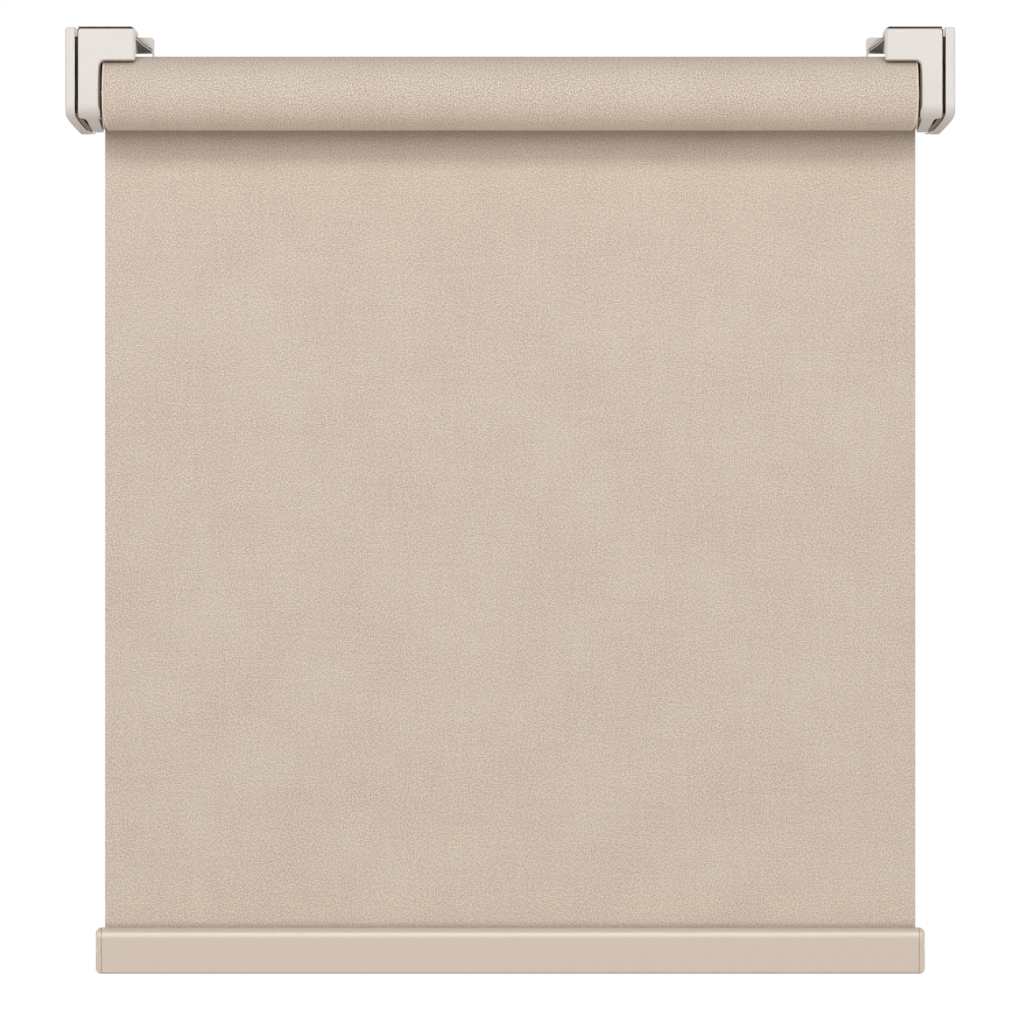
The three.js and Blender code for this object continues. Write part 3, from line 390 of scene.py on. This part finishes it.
def arm_shade(n):
    """1 on the front and lower parts of the arms, which the covers keep in shade, and 0 elsewhere."""
    x, y, z = n.axes(n.place)
    outward = n.spread(n.maths("ABSOLUTE", x), ARM_START, ARM_START + ARM_FADE)
    ahead = n.spread(y, ARM_BACK, ARM_BACK - ARM_FADE)
    below = n.spread(z, ARM_TOP, ARM_TOP - ARM_FADE)
    return n.maths("MULTIPLY", n.maths("MULTIPLY", outward, ahead), below)


def gusset_shade(n):
    """1 under the gussets, which lean out over a dark corner, and 0 elsewhere."""
    x, y = n.axes(n.place)[:2]
    facing = n.axes(n.add("ShaderNodeTexCoord").outputs["Normal"])
    inward = n.spread(n.maths("ABSOLUTE", x), GUSSET_SIDE, GUSSET_SIDE - GUSSET_FADE)
    ahead = n.spread(y, GUSSET_BACK, GUSSET_BACK - GUSSET_FADE)
    down = n.spread(facing[2], *GUSSET_FACING)
    return n.maths("MULTIPLY", n.maths("MULTIPLY", inward, ahead), down)


def cloth(name, strength=1.0, wound=False):
    """Coated blackout weave: a close pebbled grain, with faint clouds and slubs, and painted shade where it
    is closed in.
    """
    n = Nodes(name)
    x, y, along = n.axes(n.place)
    if wound:
        above = n.maths("SUBTRACT", along, axis.z)
        ahead = n.maths("SUBTRACT", axis.y, y)
        along = n.maths("MULTIPLY", n.maths("ARCTAN2", above, ahead), roll_radius)
    flat = n.add("ShaderNodeCombineXYZ")
    n.link(x, flat.inputs["X"])
    n.link(along, flat.inputs["Y"])
    n.place = flat.outputs["Vector"]
    grain = n.noise(GRAIN_SCALE, detail=0)
    slub = n.noise(1.0, stretch=(SLUB_LONG, SLUB_FINE, SLUB_FINE))
    warp = n.noise(1.0, stretch=(SLUB_FINE, SLUB_LONG, SLUB_FINE))
    cloud = n.noise(CLOTH_CLOUD_SCALE, detail=4, rough=0.6)
    reach = GRAIN_RANGE / strength
    tone = n.mix(n.spread(grain, 0.5 - reach, 0.5 + reach), CLOTH_DARK, CLOTH_LIGHT)
    for thread in (slub, warp):
        tone = n.mix(n.spread(thread, *SLUB_RANGE, 0.0, SLUB_SHARE), tone, CLOTH_DARK)
    tone = n.mix(n.spread(cloud, *SOFT_RANGE, 0.0, CLOTH_CLOUD_SHARE), tone, CLOTH_LIGHT)
    # Painted shade: darker and warmer where the cloth is closed in, as under the roll and above the bar
    gap = n.spread(n.closed_in(CLOTH_GAP_REACH), *CLOTH_GAP_RANGE, 0.0, CLOTH_GAP_SHARE)
    tone = n.mix(gap, tone, CLOTH_SHADE)
    if wound:
        # On the roll: a lighter cut edge, and near-black painted shade on the drawn-in part of its ends
        edge = n.add("ShaderNodeAttribute", attribute_name="cut_edge_and_shade").outputs["Fac"]
        painted_shade = n.maths("MULTIPLY", n.maths("MINIMUM", edge), -1.0)
        tone = n.mix(n.maths("MAXIMUM", edge), tone, CLOTH_EDGE)
        tone = n.mix(painted_shade, tone, CLOTH_END_SHADE)
    return n.surface(
        tone,
        CLOTH_ROUGHNESS,
        n.bump(grain, GRAIN_DEPTH, GRAIN_RELIEF_SHARE),
        Sheen_Weight=CLOTH_SHEEN,
        Sheen_Roughness=CLOTH_SHEEN_ROUGHNESS,
        Specular_IOR_Level=CLOTH_SPECULAR,
    )


def painted_metal():
    """Satin paint on the bar: a fine orange-peel skin, browner painted shade in its seams, on a softly
    crowned front.
    """
    n = Nodes("painted_metal")
    mottle = n.noise(RAIL_MOTTLE_SCALE, detail=3, rough=0.6)
    cloud = n.noise(RAIL_CLOUD_SCALE)
    tone = n.mix(n.spread(mottle, *FINE_RANGE), toned(RAIL, DARKER_SHARE), toned(RAIL, LIGHTER_SHARE))
    dull = n.spread(cloud, *SOFT_RANGE, 0.0, RAIL_CLOUD_SHARE)
    tone = n.mix(dull, tone, toned(RAIL, RAIL_CLOUD_TONE_SHARE))
    # Painted shade: browner where the paint is closed in, as in the seams
    seam_shade = n.spread(n.closed_in(RAIL_SEAM_REACH), *RAIL_SEAM_RANGE)
    tone = n.mix(seam_shade, tone, RAIL_SEAM_SHADE)
    height = n.axes(n.place)[2]
    above = n.maths("MAXIMUM", n.maths("SUBTRACT", height, rail_high.z - CROWN_HEIGHT))
    crown = n.maths("MULTIPLY", n.maths("MULTIPLY", above, above), -0.5 / CROWN_RADIUS)
    crowned = n.bump(crown, 1.0)
    skin = n.bump(n.noise(RAIL_SKIN_SCALE), SKIN_DEPTH, RAIL_SKIN_SHARE, crowned)
    rough = n.spread(n.noise(RAIL_GLOSS_SCALE), *FINE_RANGE, *RAIL_ROUGHNESS)
    return n.surface(tone, rough, skin, IOR=RAIL_IOR)


def inner_plastic():
    """Plain moulded plastic of the plugs and seats inside."""
    n = Nodes("inner_plastic")
    cloud = n.spread(n.noise(PLUG_CLOUD_SCALE), *SOFT_RANGE)
    tone = n.mix(cloud, toned(WHITE_PLASTIC, PLUG_CLOUD_TONE_SHARE), WHITE_PLASTIC)
    skin = n.bump(n.noise(PLUG_SKIN_SCALE), SKIN_DEPTH, PLUG_SKIN_SHARE)
    rough = n.spread(n.noise(PLUG_GLOSS_SCALE), *FINE_RANGE, *PLUG_ROUGHNESS)
    return n.surface(tone, rough, skin)


def drawn_metal(name, colour, roughness, streaks):
    """Metal with fine streaks along its length."""
    n = Nodes(name)
    streak = n.noise(1.0, rough=0.6, stretch=streaks)
    tone = n.mix(n.spread(streak, *FINE_RANGE), toned(colour, STREAK_TONE_SHARE), colour)
    skin = n.bump(streak, STREAK_DEPTH, STREAK_RELIEF_SHARE)
    rough = n.spread(streak, *FINE_RANGE, roughness, roughness + STREAK_ROUGHNESS)
    return n.surface(tone, rough, skin, Metallic=1.0)


# Meshes


def new_object(name, mesh, material):
    data = bpy.data.meshes.new(name)
    mesh.to_mesh(data)
    mesh.free()
    data.materials.append(material)
    piece = bpy.data.objects.new(name, data)
    bpy.context.scene.collection.objects.link(piece)
    return piece


def shade(mesh, angle=SMOOTH_ANGLE):
    """Smooth faces, with a hard line only where two of them meet at more than the angle."""
    for face in mesh.faces:
        face.smooth = True
    for edge in mesh.edges:
        edge.smooth = edge.is_manifold and edge.calc_face_angle(0) < angle


def even_normals(piece):
    """Keeps large flat faces flat where they meet small rounded ones."""
    modifier = piece.modifiers.new("even_normals", "WEIGHTED_NORMAL")
    modifier.keep_sharp = True
    modifier.weight = 50
    return piece


def roomy(edge, reach):
    """True where a rounded edge has room: no edge beside it is shorter than the rounding needs."""
    beside = {e for vert in edge.verts for e in vert.link_edges}
    return all(e.calc_length() > ROUNDING_ROOM * reach for e in beside)


def refined(node, name, material, body, rounding):
    """A finer copy of a rigid CAD node: flat faces joined, outer edges rounded, curves shaded smooth."""
    mesh = bmesh.new()
    mesh.from_mesh(frame["nodes"][node].data)
    bmesh.ops.remove_doubles(mesh, verts=mesh.verts, dist=WELD)
    bmesh.ops.dissolve_limit(mesh, angle_limit=FLAT_ANGLE, verts=mesh.verts, edges=mesh.edges)
    outer = [e for e in mesh.edges if e.is_manifold and e.is_convex]
    sharp = [e for e in outer if e.calc_face_angle(0) > SHARP_ANGLE and roomy(e, rounding)]
    bmesh.ops.bevel(
        mesh,
        geom=sharp,
        offset=rounding,
        segments=2,
        profile=0.5,
        affect="EDGES",
        clamp_overlap=False,
    )
    bent = [f for f in mesh.faces if min(c.calc_normal().dot(f.normal) for c in f.loops) < BENT_CORNER]
    bmesh.ops.triangulate(mesh, faces=bent)
    shade(mesh)
    piece = even_normals(new_object(name, mesh, material))
    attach(piece, body)
    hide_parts(node)
    return piece


# Sizes that the frame gives
drop_low, drop_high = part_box("fabric_drop")
tube_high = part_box("roller_tube")[1]
rail_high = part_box("bottom_rail")[1]
axis = next(Vector(j["pos_m"]) for j in frame["joints"] if j["name"] == "roller_spin")
half_cloth = drop_high.x
cloth_thickness = drop_high.y - drop_low.y
roll_radius = drop_high.y - axis.y
core_radius = tube_high.y - axis.y + CORE_GAP


def drawn_in(angle):
    """How far the outermost turn's edge sits inside the roll's end, at an angle round the roll."""
    from_front = angle % (2 * math.pi) - math.pi
    reach = min(abs(from_front), math.pi - abs(from_front))
    share = max(0.0, (reach - ROLL_DRAW_START) / (math.pi / 2 - ROLL_DRAW_START))
    return (ROLL_DRAW_BELOW if from_front > 0 else ROLL_DRAW_ABOVE) * share**ROLL_DRAW_CURVE


def on_roll(x, radius, angle):
    """A point round the roller's axis; the angle starts at the wall side and rises over the top."""
    return (x, axis.y + radius * math.cos(angle), axis.z + radius * math.sin(angle))


def roll_station(x):
    """One ring of the roll's outer face at X, slightly uneven as wound cloth is."""
    ring = []
    last = abs(x) >= half_cloth - ROLL_EDGE - SELVAGE - WELD
    for i in range(ROLL_ANGLES):
        angle = 2 * math.pi * i / ROLL_ANGLES
        uneven = noise.noise(Vector((x / ROLL_WAVE_SIZE, math.cos(angle), math.sin(angle))))
        place = x - math.copysign(drawn_in(angle), x) if last else x
        ring.append(on_roll(place, roll_radius - ROLL_WAVE + ROLL_WAVE * uneven, angle))
    return ring


def groove(share):
    """Depth of the joint between two turns, deepest where one turn meets the next."""
    return TURN_GROOVE * (2 * abs(share - 0.5)) ** GROOVE_CURVE


def roll_end(mesh, side):
    """The roll's end face, where the turns show as one spiral, with near-black painted shade on its drawn-in
    part.
    """
    steps = math.ceil((roll_radius - core_radius) / cloth_thickness) * RINGS_PER_TURN
    outer = roll_radius - ROLL_EDGE - ROLL_WAVE
    cut_edge_and_shade = mesh.verts.layers.float["cut_edge_and_shade"]
    rows = []
    for j in range(steps + RINGS_PER_TURN + 1):
        row = []
        for i in range(ROLL_ANGLES + 1):
            turn = i / ROLL_ANGLES
            radius = core_radius + cloth_thickness * (j / RINGS_PER_TURN + turn - 1)
            depth = groove((j / RINGS_PER_TURN) % 1)
            if radius <= core_radius or radius >= outer:
                radius = min(max(radius, core_radius), outer)
                depth = 0
            angle = 2 * math.pi * turn
            outward = (radius - core_radius) / (outer - core_radius)
            x = side * (half_cloth - depth - drawn_in(angle) * outward**END_DISH)
            vert = mesh.verts.new(on_roll(x, radius, angle))
            # Painted shade: the drawn-in part of the end face is marked for a near-black tone
            painted_shade = drawn_in(angle) / ROLL_DRAW_BELOW * outward**END_SHADE_CURVE
            vert[cut_edge_and_shade] = 1 - 2 * painted_shade
            row.append(vert)
        rows.append(row)
    for low, high in zip(rows, rows[1:]):
        for i in range(ROLL_ANGLES):
            corners = [low[i], high[i], high[i + 1], low[i + 1]]
            mesh.faces.new(corners if side > 0 else corners[::-1])


def joined_rings(mesh, rings, edges=()):
    """Faces between rings of points that follow each other along X; the numbered rings are cut edge."""
    made = [[mesh.verts.new(point) for point in ring] for ring in rings]
    cut_edge_and_shade = mesh.verts.layers.float["cut_edge_and_shade"]
    for number in edges:
        for vert in made[number]:
            vert[cut_edge_and_shade] = 1.0
    count = len(made[0])
    for low, high in zip(made, made[1:]):
        for i in range(count):
            j = (i + 1) % count
            mesh.faces.new((low[i], low[j], high[j], high[i]))


def wound_roll(material):
    """The cloth on the tube: a slightly uneven roll with rounded ends that show its turns."""
    mesh = bmesh.new()
    mesh.verts.layers.float.new("cut_edge_and_shade")
    edge = half_cloth - ROLL_EDGE
    stations = [edge * (2 * i / ROLL_STATIONS - 1) for i in range(ROLL_STATIONS + 1)]
    stations = [stations[0], SELVAGE - edge, *stations[1:-1], edge - SELVAGE, stations[-1]]
    angles = [2 * math.pi * i / ROLL_ANGLES for i in range(ROLL_ANGLES)]
    outer = [roll_station(x) for x in stations]
    for side in (-1, 1):
        rim = []
        for step in range(1, RIM_STEPS + 1):
            lean = math.pi / 2 * step / RIM_STEPS
            x = edge + ROLL_EDGE * math.sin(lean)
            radius = roll_radius - ROLL_WAVE - ROLL_EDGE * (1 - math.cos(lean))
            rim.append([on_roll(side * (x - drawn_in(a)), radius, a) for a in angles])
        outer = outer + rim if side > 0 else rim[::-1] + outer
        roll_end(mesh, side)
    rim_rings = [*range(RIM_STEPS + 1), *range(len(outer) - RIM_STEPS - 1, len(outer))]
    joined_rings(mesh, outer, rim_rings)
    core = [[on_roll(side * half_cloth, core_radius, a) for a in angles] for side in (1, -1)]
    joined_rings(mesh, core)
    bmesh.ops.remove_doubles(mesh, verts=mesh.verts, dist=WELD)
    bmesh.ops.recalc_face_normals(mesh, faces=mesh.faces)
    shade(mesh, ROLL_SHARP_ANGLE)
    piece = new_object("wound_cloth", mesh, material)
    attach(piece, "roller")
    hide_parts("fabric_roll")


def sheet_point(x, down):
    """Where the cloth's middle lies and which way it faces, so far down from the roll's axis."""
    radius = roll_radius - cloth_thickness / 2
    if down < 0:
        turn = -down / radius
        facing = Vector((0, math.cos(turn), math.sin(turn)))
        return Vector((x, axis.y, axis.z)) + radius * facing, facing
    length = axis.z - drop_low.z
    share = down / length
    fade = min(1.0, down / SHEET_WAVE_FADE) * min(1.0, (length - down) / SHEET_WAVE_FADE)
    wave = SHEET_WAVE * fade * noise.noise(Vector((x, 0, down)) / SHEET_WAVE_SIZE)
    y = axis.y + radius - SHEET_LEAN * share + wave
    return Vector((x, y, axis.z - down)), Vector((0, 1, 0))


def hanging_sheet(material):
    """The cloth from the roll down into the bar, one thin sheet with its cut edges."""
    mesh = bmesh.new()
    length = axis.z - drop_low.z
    downs = [-SHEET_TUCK + (length + SHEET_TUCK) * i / SHEET_ROWS for i in range(SHEET_ROWS + 1)]
    sides = [half_cloth * (2 * i / SHEET_COLUMNS - 1) for i in range(SHEET_COLUMNS + 1)]
    layers = []
    for face in (-1, 1):
        rows = []
        for down in downs:
            row = []
            for x in sides:
                middle, facing = sheet_point(x, down)
                row.append(mesh.verts.new(middle + facing * face * cloth_thickness / 2))
            rows.append(row)
        layers.append(rows)
    front, back = layers
    for rows, flip in ((front, False), (back, True)):
        for high, low in zip(rows, rows[1:]):
            for i in range(SHEET_COLUMNS):
                corners = [low[i], low[i + 1], high[i + 1], high[i]]
                mesh.faces.new(corners[::-1] if flip else corners)
    border = [(0, i) for i in range(SHEET_COLUMNS)]
    border += [(r, SHEET_COLUMNS) for r in range(SHEET_ROWS)]
    border += [(SHEET_ROWS, i) for i in range(SHEET_COLUMNS, 0, -1)]
    border += [(r, 0) for r in range(SHEET_ROWS, 0, -1)]
    for (r0, c0), (r1, c1) in zip(border, border[1:] + border[:1]):
        mesh.faces.new((front[r0][c0], front[r1][c1], back[r1][c1], back[r0][c0]))
    bmesh.ops.recalc_face_normals(mesh, faces=mesh.faces)
    shade(mesh)
    piece = new_object("hanging_cloth", mesh, material)
    middle_y = (drop_low.y + drop_high.y) / 2
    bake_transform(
        piece,
        "brackets",
        "bottom_bar",
        start=(0, middle_y, axis.z + BLEND_ABOVE),
        end=(0, middle_y, rail_high.z - BLEND_BELOW),
    )
    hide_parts("fabric_drop")


def pin_spring(material):
    """The idle pin's spring, which shortens between the plug and the pin's collar as the pin goes in."""
    mesh = bmesh.new()
    mesh.from_mesh(frame["nodes"]["idle_pin_spring"].data)
    bmesh.ops.remove_doubles(mesh, verts=mesh.verts, dist=WELD)
    shade(mesh)
    piece = new_object("pin_spring", mesh, material)
    low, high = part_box("idle_pin_spring")
    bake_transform(piece, "roller", "idle_pin", start=(high.x, axis.y, axis.z), end=(low.x, axis.y, axis.z))
    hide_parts("idle_pin_spring")


# The object

bracket_skin = moulded_plastic("bracket_plastic", shaded_arms=True)
cover_skin = moulded_plastic("cover_plastic")
bar_skin = painted_metal()
plug_skin = inner_plastic()
tube_skin = drawn_metal("tube_metal", TUBE_METAL, TUBE_ROUGHNESS, TUBE_STREAKS)
spring_skin = drawn_metal("spring_metal", SPRING_METAL, SPRING_ROUGHNESS, SPRING_STREAKS)

BRACKET_SKINS = {"bracket": bracket_skin, "front_cover": cover_skin, "end_cap": cover_skin}
for side in ("left", "right"):
    for part, skin in BRACKET_SKINS.items():
        shell = refined(f"{side}_{part}", f"{side}_{part}_shell", skin, "brackets", BRACKET_EDGE)

BAR_PIECES = {
    "bottom_rail": ("bar_profile", "rail_aluminium"),
    "rail_cap_left": ("bar_cap_left", "rail_cap_plastic"),
    "rail_cap_right": ("bar_cap_right", "rail_cap_plastic"),
}
for node, (name, slot) in BAR_PIECES.items():
    shell = refined(node, name, bar_skin, "bottom_bar", RAIL_EDGE)

wound_roll(cloth("roll_cloth", ROLL_GRAIN_STRENGTH, wound=True))
hanging_sheet(cloth("sheet_cloth"))
pin_spring(spring_skin)

PLUG_NODES = (
    "idle_pin_seat",
    "tongue_seat",
    "fixing_tape",
    "idle_crown",
    "spring_end_crown",
    "spring_anchor",
    "spring_carrier",
    "hem_spline",
)
STEEL_NODES = ("idle_pin", "spring_shaft", "brake_spring", "torsion_spring", "shaft_clip")
for skin, nodes in ((plug_skin, PLUG_NODES), (tube_skin, ("roller_tube",)), (spring_skin, STEEL_NODES)):
    for node in nodes:
        slots = frame["nodes"][node].data.materials
        slots.clear()
        slots.append(skin)


# Light, floor and camera


def softbox(name, place, aim, size, power, colour=NEUTRAL):
    light = bpy.data.lights.new(name, "AREA")
    light.color = colour
    light.shape = "RECTANGLE"
    light.size, light.size_y = size
    light.energy = power
    lamp = bpy.data.objects.new(name, light)
    lamp.location = place
    lamp.rotation_euler = (Vector(aim) - Vector(place)).to_track_quat("-Z", "Y").to_euler()
    bpy.context.scene.collection.objects.link(lamp)


def studio():
    """A broad soft key, a strip overhead, a warm glow from below and a narrow strip on each side."""
    softbox("key", KEY_PLACE, LIGHT_AIM, KEY_SIZE, KEY_POWER)
    softbox("top", TOP_PLACE, LIGHT_AIM, TOP_SIZE, TOP_POWER)
    softbox("low", LOW_PLACE, LIGHT_AIM, LOW_SIZE, LOW_POWER, LOW_COLOUR)
    across, ahead, up = EDGE_PLACE
    softbox("edge_right", (across, ahead, up), LIGHT_AIM, EDGE_SIZE, EDGE_POWER)
    softbox("edge_left", (-across, ahead, up), LIGHT_AIM, EDGE_SIZE, EDGE_POWER)


def white_room():
    """A soft world, brightest ahead, that is white where it is seen directly, mirrored or through glass."""
    world = bpy.data.worlds.new("white_room")
    world.use_nodes = True
    bpy.context.scene.world = world
    tree = world.node_tree
    tree.nodes.clear()
    path = tree.nodes.new("ShaderNodeLightPath")
    lit = tree.nodes.new("ShaderNodeBackground")
    seen = tree.nodes.new("ShaderNodeBackground")
    seen.inputs["Color"].default_value = (1, 1, 1, 1)
    facing = tree.nodes.new("ShaderNodeTexCoord")
    ahead = tree.nodes.new("ShaderNodeVectorMath")
    ahead.operation = "DOT_PRODUCT"
    tree.links.new(facing.outputs["Generated"], ahead.inputs[0])
    ahead.inputs[1].default_value = ROOM_BRIGHT_SIDE
    fade = tree.nodes.new("ShaderNodeMapRange")
    tree.links.new(ahead.outputs["Value"], fade.inputs["Value"])
    fade.inputs["From Min"].default_value = ROOM_FADE_START
    tint = tree.nodes.new("ShaderNodeMix")
    tint.data_type = "RGBA"
    tree.links.new(fade.outputs["Result"], tint.inputs[0])
    tint.inputs[6].default_value = (*ROOM_DIM, 1)
    tint.inputs[7].default_value = (*ROOM_BRIGHT, 1)
    tree.links.new(tint.outputs[2], lit.inputs["Color"])
    share = path.outputs["Is Camera Ray"]
    for ray in ("Is Glossy Ray", "Is Transmission Ray"):
        node = tree.nodes.new("ShaderNodeMath")
        node.operation = "MAXIMUM"
        tree.links.new(share, node.inputs[0])
        tree.links.new(path.outputs[ray], node.inputs[1])
        share = node.outputs[0]
    mix = tree.nodes.new("ShaderNodeMixShader")
    tree.links.new(share, mix.inputs[0])
    tree.links.new(lit.outputs[0], mix.inputs[1])
    tree.links.new(seen.outputs[0], mix.inputs[2])
    output = tree.nodes.new("ShaderNodeOutputWorld")
    tree.links.new(mix.outputs[0], output.inputs["Surface"])


def pale_floor():
    """A plain floor far below, mostly white where the camera sees it."""
    mesh = bmesh.new()
    bmesh.ops.create_grid(mesh, x_segments=1, y_segments=1, size=FLOOR_HALF)
    n = Nodes("floor_paint")
    tone = n.mix(n.noise(FLOOR_CLOUD_SCALE, detail=3), toned(FLOOR, DARKER_SHARE), FLOOR)
    n.surface(tone, FLOOR_ROUGHNESS)
    lit = n.output.inputs["Surface"].links[0].from_socket
    white = n.add("ShaderNodeEmission")
    seen = n.add("ShaderNodeLightPath").outputs["Is Camera Ray"]
    mix = n.add("ShaderNodeMixShader")
    n.link(n.maths("MULTIPLY", seen, FLOOR_WHITE_SHARE), mix.inputs[0])
    n.link(lit, mix.inputs[1])
    n.link(white.outputs[0], mix.inputs[2])
    n.link(mix.outputs[0], n.output.inputs["Surface"])
    floor = new_object("floor", mesh, n.material)
    floor.location = (0, 0, FLOOR_HEIGHT)


def camera():
    data = bpy.data.cameras.new("camera")
    data.sensor_width = SENSOR_WIDTH
    data.lens = CAMERA_LENS
    data.clip_end = CLIP_END
    lens = bpy.data.objects.new("camera", data)
    lens.location = CAMERA_PLACE
    lens.rotation_euler = (math.pi / 2, 0, 0)
    bpy.context.scene.collection.objects.link(lens)
    bpy.context.scene.camera = lens


studio()
white_room()
pale_floor()
camera()
bpy.context.scene.view_settings.view_transform = "Standard"
